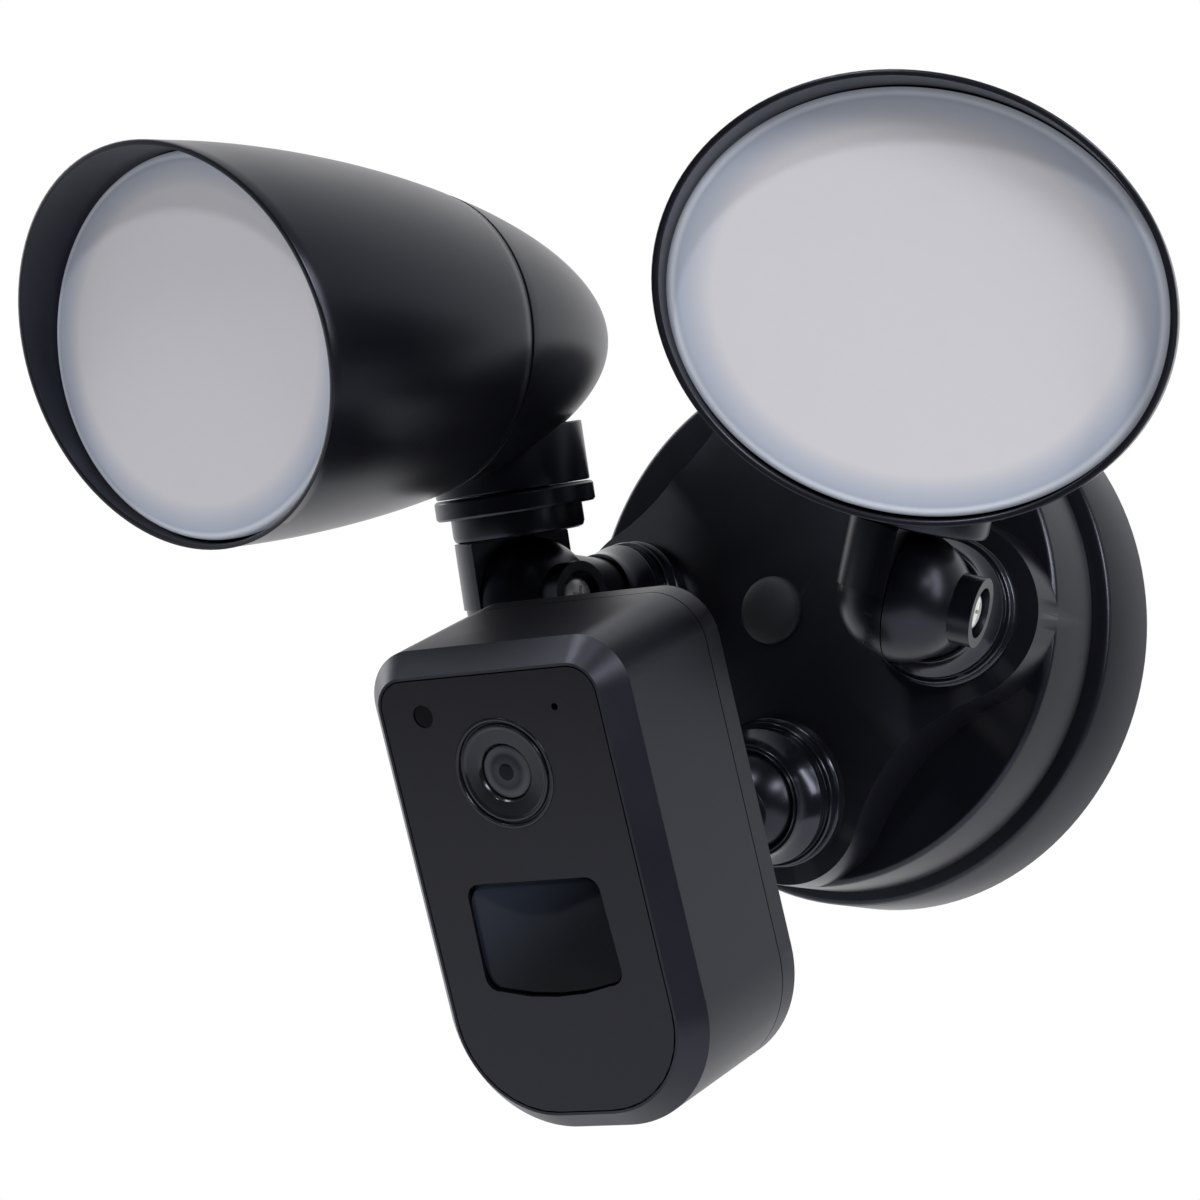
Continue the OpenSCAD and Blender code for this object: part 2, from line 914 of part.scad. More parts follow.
module module_seal() {
    color(rubber)
        module_frame()
            translate([0, cover_at, 0])
                rotate([90, 0, 0])
                    linear_extrude(0.3)
                        difference() {
                            arc_outline(bevel_w - 0.8);
                            arc_outline(bevel_w - 2);
                        }
}

// Dark glossy plate with the openings for camera, motion window, light sensor and microphone.
module face_plate() {
    color([0.05, 0.05, 0.06])
        module_frame()
            difference() {
                slab_y(-2.3, 0)
                    arc_outline(0);
                translate([0, 0, eye_z])
                    rod_y(eye_r + 0.1, -3, 1);
                translate([0, 0, pir_z])
                    slab_y(-3, 1)
                        pir_outline(0.1);
                translate([-17.2, 0, 40.8])
                    rod_y(2.5, -3, 1);
                translate([16.6, 0, 40.4])
                    rod_y(0.8, -3, 1);
            }
}

module lens_ring() {
    color(black)
        module_frame()
            translate([0, 0, eye_z])
                turn_y([[9.7, -2.3], [eye_r, -2.3], [eye_r, 0.2], [11.6, 0.2], [11.2, -0.3], [10.8, -0.3],
                    [10.4, 0], [6, -1.4], [6, -2.3]]);
}

module lens_barrel() {
    color([0.12, 0.12, 0.13])
        module_frame()
            translate([0, 0, eye_z])
                turn_y([[0, -24], [7.4, -24], [7.4, -8], [9.2, -8], [9.2, -2.5], [5.8, -2.5], [5.8, -4],
                    [0, -4]]);
}

module lens_glass() {
    dome = [for (a = [0 : 15 : 90]) [5.6 * cos(a), -2.6 + 1.3 * sin(a)]];
    color(glass)
        module_frame()
            translate([0, 0, eye_z])
                turn_y(concat([[0, -4], [5.6, -4]], dome));
}

// Motion window outline: rounded corners, lower edge wider than the upper one.
module pir_outline(g) {
    r = 3.2 + g;
    w = pir_w / 2 - 3.2;
    h = pir_h / 2 - 3.2;
    polygon(concat(
        arc([w - 0.6, h], r, 0), arc([-w + 0.6, h], r, 90), arc([-w, -h + 1], r, 180),
        [[-w / 2, -h - r - 0.4], [0, -h - r - 0.8], [w / 2, -h - r - 0.4]], arc([w, -h + 1], r, 270)));
}

module pir_window() {
    color([0.03, 0.03, 0.05])
        module_frame()
            translate([0, 0, pir_z])
                slab_y(-2.3, 0.1)
                    pir_outline(0);
}

module pir_sensor() {
    color(steel)
        module_frame()
            translate([0, 0, pir_z])
                union() {
                    rod_y(4.1, -12, -8);
                    rod_y(4.6, -12.6, -12);
                }
}

module light_pipe() {
    color([0.25, 0.3, 0.45])
        module_frame()
            translate([-17.2, 0, 40.8])
                union() {
                    rod_y(2.4, -2.3, -0.3);
                    rod_y(1.6, -12, -2.3);
                }
}

module main_board() {
    color(board)
        module_frame()
            union() {
                translate([-17.5, 24, -28])
                    cube([35, 1.6, 74]);
                translate([-12, 25.6 - eps, -6])
                    cube([18, 2, 18]);
                translate([-9, 12.6, -18])
                    cube([18, 1.4, 17]);
                translate([-1, 13.9, -12])
                    cube([2, 10.2, 4]);
            }
}

module speaker() {
    color([0.15, 0.15, 0.15])
        module_frame()
            translate([0, 0, -36])
                union() {
                    rod_y(9, -34, -29);
                    rod_y(6, -37, -34);
                }
}

module module_screws() {
    color(steel)
        module_frame()
            for (p = post_at)
                translate([p[0], 0, p[1]])
                    difference() {
                        union() {
                            rod_y(1.3, -module_d + 1.4, -28);
                            rod_y(2.6, -module_d + 0.2, -module_d + 1.5);
                        }
                        for (a = [0, 90])
                            rotate([0, a, 0])
                                translate([-1.6, module_d - 1, -0.3])
                                    cube([3.2, 2, 0.6]);
                    }
}

// ---------- what is drawn ----------

wall_gasket();
crossbar();
base_ring();
mount_screws();
canopy_seal();
canopy();
lamp_collar(-1);  // left_collar
lamp_collar(1);  // right_collar
camera_collar();
center_bolt();
bolt_plug();
driver_board();
driver_parts();
lamp_arm(-1);  // left_arm
arm_nut(-1);  // left_arm_nut
knuckle_screw(-1);  // left_knuckle_screw
lamp_link(-1);  // left_link
knuckle_nut(-1);  // left_knuckle_nut
lock_ring(-1);  // left_lock_ring
neck_nut(-1);  // left_neck_nut
shroud(-1);  // left_shroud
rear_cap(-1);  // left_rear_cap
lens(-1);  // left_lens
lens_gasket(-1);  // left_lens_gasket
reflector(-1);  // left_reflector
led_board(-1);  // left_led_board
leds(-1);  // left_leds
heat_sink(-1);  // left_heat_sink
board_screws(-1);  // left_board_screws
lamp_arm(1);  // right_arm
arm_nut(1);  // right_arm_nut
knuckle_screw(1);  // right_knuckle_screw
lamp_link(1);  // right_link
knuckle_nut(1);  // right_knuckle_nut
lock_ring(1);  // right_lock_ring
neck_nut(1);  // right_neck_nut
shroud(1);  // right_shroud
rear_cap(1);  // right_rear_cap
lens(1);  // right_lens
lens_gasket(1);  // right_lens_gasket
reflector(1);  // right_reflector
led_board(1);  // right_led_board
leds(1);  // right_leds
heat_sink(1);  // right_heat_sink
board_screws(1);  // right_board_screws
ball_liner();
ball_stem();
module_shell();
module_cover();
module_seal();
face_plate();
lens_ring();
lens_barrel();
lens_glass();
pir_window();
pir_sensor();
light_pipe();
main_board();
speaker();
module_screws();
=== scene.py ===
import math

import bmesh
import bpy
from mathutils import Matrix, Vector


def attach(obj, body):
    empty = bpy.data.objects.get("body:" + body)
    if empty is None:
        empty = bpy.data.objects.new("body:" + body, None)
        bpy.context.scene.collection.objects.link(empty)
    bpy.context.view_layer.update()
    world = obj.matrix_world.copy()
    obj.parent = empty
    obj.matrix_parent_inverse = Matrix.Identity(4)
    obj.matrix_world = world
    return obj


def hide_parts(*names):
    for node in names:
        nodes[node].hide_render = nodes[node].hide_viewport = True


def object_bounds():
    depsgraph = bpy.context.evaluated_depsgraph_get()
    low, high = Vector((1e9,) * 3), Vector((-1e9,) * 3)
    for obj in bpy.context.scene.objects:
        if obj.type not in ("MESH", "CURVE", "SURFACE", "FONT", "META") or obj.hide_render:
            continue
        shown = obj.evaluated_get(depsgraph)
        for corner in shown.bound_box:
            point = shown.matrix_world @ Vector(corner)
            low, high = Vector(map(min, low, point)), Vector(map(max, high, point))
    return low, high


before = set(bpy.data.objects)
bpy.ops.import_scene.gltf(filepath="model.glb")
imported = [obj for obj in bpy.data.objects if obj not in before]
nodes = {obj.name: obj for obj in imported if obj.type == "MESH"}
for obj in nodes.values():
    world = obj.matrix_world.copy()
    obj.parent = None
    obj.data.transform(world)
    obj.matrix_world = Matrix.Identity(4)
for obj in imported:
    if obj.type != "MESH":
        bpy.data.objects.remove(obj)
cad_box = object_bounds()
MM = 0.001


# ---------- materials ----------

PLASTIC_IOR = 1.5
COOL_GLOSS = (0.78, 0.81, 1.0, 1)
CLOUD_SCALE, ROUGH_SPREAD = 38.0, 0.15
WORN_FROM, WORN_TO = 0.52, 0.6
GRAIN_HEIGHT = 0.03


def material(name, colour, rough=0.4, metallic=0.0, coat=0.0, coat_rough=0.1, grain=900.0, bump=0.15,
             tint=0.12, wear=0.0, spec=0.5):
    """Procedural surface: uneven colour and roughness from noise, moulded grain as bump, worn edges."""
    m = bpy.data.materials.new(name)
    m.use_nodes = True
    t = m.node_tree
    t.nodes.clear()
    out = t.nodes.new("ShaderNodeOutputMaterial")
    bsdf = t.nodes.new("ShaderNodeBsdfPrincipled")
    t.links.new(bsdf.outputs[0], out.inputs[0])
    bsdf.inputs["Metallic"].default_value = metallic
    bsdf.inputs["IOR"].default_value = PLASTIC_IOR
    bsdf.inputs["Specular IOR Level"].default_value = spec
    bsdf.inputs["Specular Tint"].default_value = COOL_GLOSS if metallic < 0.5 else (1, 1, 1, 1)
    bsdf.inputs["Coat Weight"].default_value = coat
    bsdf.inputs["Coat Roughness"].default_value = coat_rough
    place = t.nodes.new("ShaderNodeTexCoord")
    cloud = t.nodes.new("ShaderNodeTexNoise")
    cloud.inputs["Scale"].default_value = CLOUD_SCALE
    cloud.inputs["Detail"].default_value = 5.0
    t.links.new(place.outputs["Object"], cloud.inputs["Vector"])
    ramp = t.nodes.new("ShaderNodeValToRGB")
    ramp.color_ramp.elements[0].position = 0.3
    ramp.color_ramp.elements[1].position = 0.7
    low = [c * (1 - tint) for c in colour]
    high = [min(1.0, c * (1 + tint)) for c in colour]
    ramp.color_ramp.elements[0].color = (*low, 1)
    ramp.color_ramp.elements[1].color = (*high, 1)
    t.links.new(cloud.outputs["Fac"], ramp.inputs["Fac"])
    colour_out = ramp.outputs["Color"]
    if wear > 0:
        geo = t.nodes.new("ShaderNodeNewGeometry")
        edge = t.nodes.new("ShaderNodeValToRGB")
        edge.color_ramp.elements[0].position = WORN_FROM
        edge.color_ramp.elements[1].position = WORN_TO
        t.links.new(geo.outputs["Pointiness"], edge.inputs["Fac"])
        mix = t.nodes.new("ShaderNodeMix")
        mix.data_type = "RGBA"
        mix.inputs["B"].default_value = (*[min(1.0, c + wear) for c in colour], 1)
        t.links.new(edge.outputs["Color"], mix.inputs["Factor"])
        t.links.new(colour_out, mix.inputs["A"])
        colour_out = mix.outputs["Result"]
    t.links.new(colour_out, bsdf.inputs["Base Color"])
    spread = t.nodes.new("ShaderNodeMapRange")
    spread.inputs["To Min"].default_value = max(0.02, rough * (1 - ROUGH_SPREAD))
    spread.inputs["To Max"].default_value = min(1.0, rough * (1 + ROUGH_SPREAD))
    t.links.new(cloud.outputs["Fac"], spread.inputs["Value"])
    t.links.new(spread.outputs["Result"], bsdf.inputs["Roughness"])
    fine = t.nodes.new("ShaderNodeTexNoise")
    fine.inputs["Scale"].default_value = grain
    fine.inputs["Detail"].default_value = 2.0
    t.links.new(place.outputs["Object"], fine.inputs["Vector"])
    lift = t.nodes.new("ShaderNodeBump")
    lift.inputs["Strength"].default_value = bump
    lift.inputs["Distance"].default_value = GRAIN_HEIGHT * MM
    t.links.new(fine.outputs["Fac"], lift.inputs["Height"])
    t.links.new(lift.outputs["Normal"], bsdf.inputs["Normal"])
    return m


black = material("satin_black_plastic", (0.0042, 0.0043, 0.0072), rough=0.31, grain=1500, wear=0.012,
                 spec=0.55)
black_shell = material("module_black_plastic", (0.0055, 0.0056, 0.0095), rough=0.38, grain=1700, wear=0.014,
                       spec=0.55)
black_fine = material("collar_black_plastic", (0.006, 0.0062, 0.0095), rough=0.18, grain=1300, wear=0.03,
                      spec=0.7)
face = material("face_gloss", (0.004, 0.0036, 0.0048), rough=0.24, coat=0.05, bump=0.03, grain=500,
                spec=0.42)
rubber = material("black_rubber", (0.013, 0.013, 0.014), rough=0.62, grain=1100, bump=0.3)
steel = material("stainless", (0.92, 0.92, 0.9), rough=0.3, metallic=0.65, grain=700, bump=0.1, tint=0.05)
cast = material("heat_sink_cast", (0.62, 0.63, 0.64), rough=0.45, metallic=1.0, grain=600, bump=0.4)
white = material("white_plastic", (0.8, 0.8, 0.79), rough=0.35, tint=0.03)
board = material("board_green", (0.03, 0.16, 0.07), rough=0.4, tint=0.2, grain=300)
chips = material("components", (0.08, 0.075, 0.06), rough=0.5, tint=0.4, grain=200)
phosphor = material("phosphor", (0.75, 0.55, 0.12), rough=0.5)
inner = material("inner_black", (0.014, 0.014, 0.015), rough=0.5)
ring_gloss = material("ring_gloss", (0.008, 0.008, 0.009), rough=0.24, coat=0.2, coat_rough=0.1, bump=0.03)
glass = material("camera_glass", (0.006, 0.008, 0.016), rough=0.06, bump=0.0, spec=0.14)
window = material("infrared_window", (0.002, 0.002, 0.003), rough=0.1, bump=0.01, spec=0.12)


def shader_of(m):
    return next(n for n in m.node_tree.nodes if n.type == "BSDF_PRINCIPLED")


def colour_by(m, attribute, stops, ease=False):
    """Base colour from (position, colour) stops, read from a vertex attribute. Returns the ramp's output."""
    t = m.node_tree
    source = t.nodes.new("ShaderNodeAttribute")
    source.attribute_name = attribute
    ramp = t.nodes.new("ShaderNodeValToRGB")
    if ease:
        ramp.color_ramp.interpolation = "EASE"
    elements = ramp.color_ramp.elements
    for element, (at, colour) in zip((elements[0], elements[1]), stops[:2]):
        element.position = at
        element.color = (*colour, 1)
    for at, colour in stops[2:]:
        elements.new(at).color = (*colour, 1)
    t.links.new(source.outputs["Fac"], ramp.inputs["Fac"])
    t.links.new(ramp.outputs["Color"], shader_of(m).inputs["Base Color"])
    return ramp.outputs["Color"]


# Camera glass: a dark middle, then grey-violet rings towards the edge.
colour_by(glass, "ring", [
    (0.0, (0.004, 0.004, 0.006)), (0.3, (0.006, 0.006, 0.009)), (0.34, (0.05, 0.05, 0.062)),
    (0.62, (0.03, 0.032, 0.042)), (0.8, (0.09, 0.092, 0.11)), (0.95, (0.10, 0.105, 0.12)),
    (1.0, (0.02, 0.02, 0.022))])
# Motion window: a painted reflection, a bluish tint in one top corner. It is a fixed tint on the surface, in
# place of a real reflection.
colour_by(window, "painted_reflection", [(0.3, (0.0015, 0.0015, 0.002)), (0.95, (0.03, 0.037, 0.055))], ease=True)


def diffuser(name, painted_glow):
    """Milky lens: grey middle that turns into a bluish band near the edge. The same colours are also given
    off as weak painted light, though the lamp is off.
    """
    m = material(name, (0.5, 0.5, 0.5), rough=0.3, grain=420, bump=0.05, tint=0.02, coat=0.2)
    band = colour_by(m, "edge", [
        (0.81, (0.60, 0.59, 0.625)), (0.90, (0.44, 0.47, 0.54)), (0.955, (0.38, 0.42, 0.51)),
        (0.972, (0.62, 0.66, 0.74)), (1.0, (0.45, 0.49, 0.57))])
    bsdf = shader_of(m)
    # Painted light: the band's colours also feed the emission, so the unlit lens glows faintly.
    m.node_tree.links.new(band, bsdf.inputs["Emission Color"])
    bsdf.inputs["Emission Strength"].default_value = painted_glow
    bsdf.inputs["Subsurface Weight"].default_value = 0.15
    bsdf.inputs["Subsurface Radius"].default_value = (0.004, 0.004, 0.005)
    return m


# Strength of the painted light given off by the unlit lamp lenses.
PAINTED_LENS_GLOW = 0.26
frost = diffuser("frosted_lens", PAINTED_LENS_GLOW)

PAINT = {
    "arm": black, "link": black, "lock_ring": black, "shroud": black, "rear_cap": black, "lens": frost,
    "lens_gasket": rubber, "reflector": white, "led_board": white, "leds": phosphor, "heat_sink": cast,
    "board_screws": steel, "arm_nut": steel, "knuckle_screw": steel, "knuckle_nut": steel, "neck_nut": steel,
    "wall_gasket": rubber, "crossbar": steel, "base_ring": black, "mount_screws": steel,
    "canopy_seal": rubber, "canopy": black, "collar": black_fine, "camera_collar": black_fine,
    "center_bolt": steel, "bolt_plug": rubber,
    "driver_board": board, "driver_parts": chips, "ball_liner": inner, "ball_stem": black,
    "module_shell": black_shell, "module_cover": black_shell, "module_seal": rubber, "face_plate": face,
    "lens_ring": ring_gloss, "lens_barrel": inner, "lens_glass": glass, "pir_window": window,
    "pir_sensor": steel, "light_pipe": window, "main_board": board, "speaker": inner, "module_screws": steel,
}
SMOOTH_ANGLE = math.radians(32)
USUAL_EDGE, WELD_REACH = 0.15, 0.002
FLAT = ("face_plate", "driver_board", "main_board", "leds", "led_board")
BROAD_FLAT = ("crossbar", "module_cover")
SOFT_EDGE = {"canopy": 0.4, "base_ring": 0.3, "arm": 0.3, "link": 0.3, "module_shell": 0.35,
             "module_cover": 0.5, "knuckle_screw": 0.12}
for name, obj in nodes.items():
    short = name.split("_", 1)[1] if name.startswith(("left_", "right_")) else name
    obj.data.materials.clear()
    obj.data.materials.append(PAINT[short])
    if short in FLAT:
        continue
    if "custom_normal" in obj.data.attributes:
        obj.data.attributes.remove(obj.data.attributes["custom_normal"])
    obj.data.shade_smooth()
    weld = obj.modifiers.new("weld", "WELD")
    weld.merge_threshold = WELD_REACH * MM
    soft_edge = obj.modifiers.new("soft_edge", "BEVEL")
    soft_edge.width = SOFT_EDGE.get(short, USUAL_EDGE) * MM
    soft_edge.segments = 2
    soft_edge.limit_method = "ANGLE"
    soft_edge.angle_limit = SMOOTH_ANGLE
    soft_edge.harden_normals = True
    if short in BROAD_FLAT:
        even = obj.modifiers.new("even_normals", "WEIGHTED_NORMAL")
        even.keep_sharp = True


# ---------- the part's frames, in millimetres and degrees as in the CAD ----------

COLLAR_OUT, LOBE_DEPTH, SPLAY = 40.8, 55.8, 14.3
ARM_REACH = 33.9
REST = {-1: (-2.0, 13.7, -0.9), 1: (12.6, 9.5, 9.4)}
SIDE = {-1: "left", 1: "right"}
CAMERA_TILT, CAMERA_ROLL = 22.5, -4.4
BALL_OUT, STEM_LENGTH, MODULE_DEPTH, STEM_DROP = 8.0, 48.9, 45.0, 9.0


def turn(axis, degrees):
    return Matrix.Rotation(math.radians(degrees), 4, axis)


def shift(x, y, z):
    return Matrix.Translation(Vector((x, y, z)) * MM)


def collar_frame(side):
    """Collar frames: -1 left lamp, +1 right lamp, 0 camera. -Y runs outwards along the collar."""
    if side == 0:
        return shift(0, -LOBE_DEPTH, -COLLAR_OUT) @ turn("X", SPLAY)
    return shift(side * COLLAR_OUT, -LOBE_DEPTH, 0) @ turn("Z", side * SPLAY)


def arm_frame(side):
    return collar_frame(side) @ turn("Y", REST[side][0])


def link_frame(side):
    return arm_frame(side) @ shift(0, -ARM_REACH, 0) @ turn("X", REST[side][1])


def head_frame(side):
    return link_frame(side) @ turn("Z", REST[side][2])


def module_frame():
    return (collar_frame(0) @ shift(0, -BALL_OUT, 0) @ turn("X", CAMERA_TILT - SPLAY)
            @ turn("Y", CAMERA_ROLL) @ shift(0, -STEM_LENGTH - MODULE_DEPTH, STEM_DROP))


# ---------- mesh building ----------

def finish_piece(name, verts, faces, place, paint, body, stands_for, slot, smooth):
    """Makes the mesh from millimetre points in a local frame and lets it ride on a body."""
    mesh = bpy.data.meshes.new(name)
    mesh.from_pydata([place @ (Vector(v) * MM) for v in verts], [], faces)
    bm = bmesh.new()
    bm.from_mesh(mesh)
    bmesh.ops.remove_doubles(bm, verts=bm.verts, dist=1e-6)
    bmesh.ops.recalc_face_normals(bm, faces=bm.faces)
    bm.to_mesh(mesh)
    bm.free()
    mesh.materials.append(paint)
    mesh.shade_smooth()
    mesh.set_sharp_from_angle(angle=math.radians(smooth))
    obj = bpy.data.objects.new(name, mesh)
    bpy.context.scene.collection.objects.link(obj)
    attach(obj, body)
    if stands_for:
        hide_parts(*stands_for)
    return obj


def mark_points(obj, attribute, place, value):
    """Writes value(x, z) in millimetres of the local frame to every vertex, for a material to read."""
    back = place.inverted()
    layer = obj.data.attributes.new(attribute, "FLOAT", "POINT")
    for v in obj.data.vertices:
        c = back @ v.co / MM
        layer.data[v.index].value = value(c.x, c.z)


def ring_faces(turns, count, closed=True, first=0):
    """Quads between neighbouring rows of count points, row after row all the way round."""
    faces = []
    for t in range(turns):
        here, there = first + t * count, first + (t + 1) % turns * count
        for k in range(count if closed else count - 1):
            m = (k + 1) % count
            faces.append((here + k, here + m, there + m, there + k))
    return faces


def angles(turns):
    return [2 * math.pi * t / turns for t in range(turns)]


def lathe(profile, turns, closed=True):
    """Profile of (radius, depth) turned about the local Y axis, depth towards -Y."""
    verts = [(r * math.cos(a), -d, r * math.sin(a)) for a in angles(turns) for r, d in profile]
    return verts, ring_faces(turns, len(profile), closed)


NEARLY_STRAIGHT = math.radians(172)


def soften(profile, radius, steps=4):
    """Rounds the corners of a profile with small arcs of about the given radius."""
    out = []
    n = len(profile)
    for k in range(n):
        p = Vector(profile[k])
        a, b = Vector(profile[k - 1]), Vector(profile[(k + 1) % n])
        da, db = a - p, b - p
        if p.x < 1e-6 or da.length < 1e-6 or db.length < 1e-6 or da.angle(db) > NEARLY_STRAIGHT:
            out.append(tuple(p))
            continue
        cut = min(radius, 0.45 * da.length, 0.45 * db.length)
        start, end = p + da.normalized() * cut, p + db.normalized() * cut
        for q in range(steps + 1):
            f = q / steps
            out.append(tuple(start * (1 - f) ** 2 + p * 2 * f * (1 - f) + end * f ** 2))
    return out


# ---------- lamp heads ----------

HEAD_A, HEAD_B = 53.0, 44.3
HEAD_Z, HEAD_FRONT, HEAD_TAIL = 68.0, 91.6, 29.4
HEAD_RISE, RIM_LEAN, SEAM_AT = 5.4, 13.5, 24.0
LENS_IN, LENS_EDGE = 6.5, 1.9
NECK_R, NECK_Z, NECK_BORE = 17.8, 25.7, 9.0
OVAL = HEAD_B / HEAD_A
BODY_LEN = HEAD_FRONT + HEAD_TAIL
BODY_Z = HEAD_Z - HEAD_FRONT * math.tan(math.radians(HEAD_RISE))


def bullet(q):
    u = max(0.0, 1 - q / BODY_LEN)
    return (1 - u ** 1.76) ** (1 / 1.85)


def bullet_frame(side):
    return head_frame(side) @ shift(0, 0, BODY_Z) @ turn("X", -HEAD_RISE)


def rim_depth(height):
    """Depth along the bullet's axis where the leaning rim plane cuts the line at this height."""
    front = HEAD_FRONT / math.cos(math.radians(HEAD_RISE))
    return front + height * math.tan(math.radians(RIM_LEAN))


TURNS = 128
HOOD_WALL, HOOD_LIP = 1.6, 0.35
SEAM = SEAM_AT + HEAD_TAIL


def hood_section(height):
    """(radius, depth) round the hood's wall: seam end, outside, rim, inside."""
    rim = rim_depth(height) + HEAD_TAIL
    span = rim - SEAM
    seam_r = HEAD_A * bullet(SEAM)
    section = [(seam_r - HOOD_WALL, SEAM + 0.2), (seam_r - 1.0, SEAM), (seam_r - 0.35, SEAM + 0.03),
               (seam_r - 0.08, SEAM + 0.25)]
    for i in range(1, 27):
        q = SEAM + 0.6 + (span - 0.6 - HOOD_LIP) * i / 26
        section.append((HEAD_A * bullet(min(q, BODY_LEN)), q))
    section += [(HEAD_A - 0.12, rim - 0.12), (HEAD_A - HOOD_LIP, rim), (HEAD_A - HOOD_WALL + HOOD_LIP, rim),
                (HEAD_A - HOOD_WALL + 0.1, rim - 0.12)]
    for i in range(1, 12):
        q = rim - HOOD_LIP - (span - HOOD_LIP - 0.4) * i / 12
        section.append((HEAD_A * bullet(min(q, BODY_LEN)) - HOOD_WALL, q))
    return section


def oval_row(section, a):
    """The section at angle a round the bullet, squashed to the lamp's oval."""
    return [(r * math.cos(a), -(q - HEAD_TAIL), r * math.sin(a) * OVAL) for r, q in section]


def make_head(side):
    """Hood of the lamp: the front of the bullet, cut by the leaning rim."""
    side_name = SIDE[side]
    verts = []
    for a in angles(TURNS):
        section = hood_section(HEAD_B * math.sin(a))
        verts += oval_row(section, a)
    finish_piece(side_name + "_hood", verts, ring_faces(TURNS, len(section)), bullet_frame(side), black,
                 side_name + "_head", [side_name + "_shroud"], "black_plastic", smooth=35)


CAP_WALL, CAP_EDGE, NECK_TOP = 2.4, 0.38, BODY_Z - 20


def make_rear_cap(side):
    """Tail of the bullet with an open neck below it."""
    side_name = SIDE[side]
    tail = [(0.0, 0.0)]
    for i in range(1, 41):
        q = (SEAM - 0.7) * (i / 40) ** 2
        tail.append((HEAD_A * bullet(q), q))
    edge_r = HEAD_A * bullet(SEAM - 0.4)
    tail += [(edge_r - 0.06, SEAM - 0.5), (edge_r - 0.35, SEAM - CAP_EDGE),
             (edge_r - CAP_WALL, SEAM - CAP_EDGE)]
    tail += [(HEAD_A * bullet(SEAM * f) - CAP_WALL, SEAM * f) for f in (0.8, 0.5, 0.25, 0.1)]
    in_head = shift(0, 0, BODY_Z) @ turn("X", -HEAD_RISE)
    verts = [(in_head @ (Vector(v) * MM)) / MM for a in angles(TURNS) for v in oval_row(tail, a)]
    faces = ring_faces(TURNS, len(tail), closed=False)
    neck = soften([(NECK_BORE, NECK_Z), (NECK_R, NECK_Z), (NECK_R, NECK_TOP), (NECK_BORE, NECK_TOP)], 0.5)
    faces += ring_faces(TURNS, len(neck), first=len(verts))
    verts += [(r * math.cos(a), r * math.sin(a), z) for a in angles(TURNS) for r, z in neck]
    finish_piece(side_name + "_tail", verts, faces, head_frame(side), black, side_name + "_head",
                 [side_name + "_rear_cap"], "black_plastic", smooth=35)


LENS_THICK, LENS_DOME, LENS_DROP, LENS_TURNS = 3.0, 0.25, 0.6, 160


def make_lens(side):
    """Milky oval diffuser with a slightly domed face and a rounded edge."""
    side_name = SIDE[side]
    a_out, b_out = HEAD_A - LENS_EDGE, HEAD_B - LENS_EDGE
    profile = [(f, LENS_DOME * f ** 2) for f in (0.0, 0.2, 0.4, 0.6, 0.8, 0.85, 0.88, 0.91, 0.93, 0.945)]
    profile += [(0.965, 0.34), (0.982, 0.55), (0.993, 0.9), (1.0, 1.5), (1.0, LENS_THICK), (0.9, LENS_THICK),
                (0.0, LENS_THICK)]
    verts = [(f * a_out * math.cos(a), -(HEAD_FRONT - LENS_IN - d), f * b_out * math.sin(a))
             for a in angles(LENS_TURNS) for f, d in profile]
    place = head_frame(side) @ shift(0, 0, HEAD_Z - LENS_DROP)
    faces = ring_faces(LENS_TURNS, len(profile), closed=False)
    lens = finish_piece(side_name + "_diffuser", verts, faces, place, frost, side_name + "_head",
                        [side_name + "_lens"], "frosted_lens", smooth=50)
    mark_points(lens, "edge", place, lambda x, z: math.hypot(x / a_out, z / b_out))


for side in (-1, 1):
    make_head(side)
    make_rear_cap(side)
    make_lens(side)


# ---------- knuckle details ----------

LINK_R = 15.2
MARK_IN, MARK_OUT, MARK_HALF_WIDTH = LINK_R - 0.75, LINK_R - 0.42, 0.16
MARK_START, MARK_LONG, MARK_SHORT, MARK_STEP = -2.2, 2.2, 1.2, 18


def make_marks(side):
    """Small raised graduation lines round the rounded foot of the link."""
    verts, faces = [], []
    for i in range(-4, 5):
        a = math.radians(MARK_STEP * i)
        end = MARK_START - (MARK_LONG if i % 2 == 0 else MARK_SHORT)
        for r in (MARK_IN, MARK_OUT):
            for x, w in ((MARK_START, -1), (MARK_START, 1), (end, 1), (end, -1)):
                across = math.sqrt(max(r * r - x * x, 1.0))
                b = a + w * MARK_HALF_WIDTH / across
                verts.append((x, -across * math.sin(b), -across * math.cos(b)))
        k = len(verts) - 8
        faces += [(k + 4, k + 5, k + 6, k + 7), (k, k + 3, k + 2, k + 1)]
        faces += [(k + j, k + (j + 1) % 4, k + 4 + (j + 1) % 4, k + 4 + j) for j in range(4)]
    finish_piece(SIDE[side] + "_tilt_marks", verts, faces, link_frame(side), black_fine, SIDE[side] + "_neck",
                 [], "black_plastic", smooth=20)


for side in (-1, 1):
    make_marks(side)


# ---------- camera module details ----------

EYE_Z, EYE_R, GLASS_R = 27.0, 12.2, 5.9
GLASS_TOP, GLASS_DOME, GLASS_BACK, GLASS_TURNS = 0.8, 0.55, 3.9, 96
WINDOW_Z, WINDOW_W, WINDOW_H = -9.5, 35.0, 25.0
WINDOW_IN, WINDOW_DOME, WINDOW_BACK, WINDOW_GAP = 1.0, 0.95, 2.2, 0.05


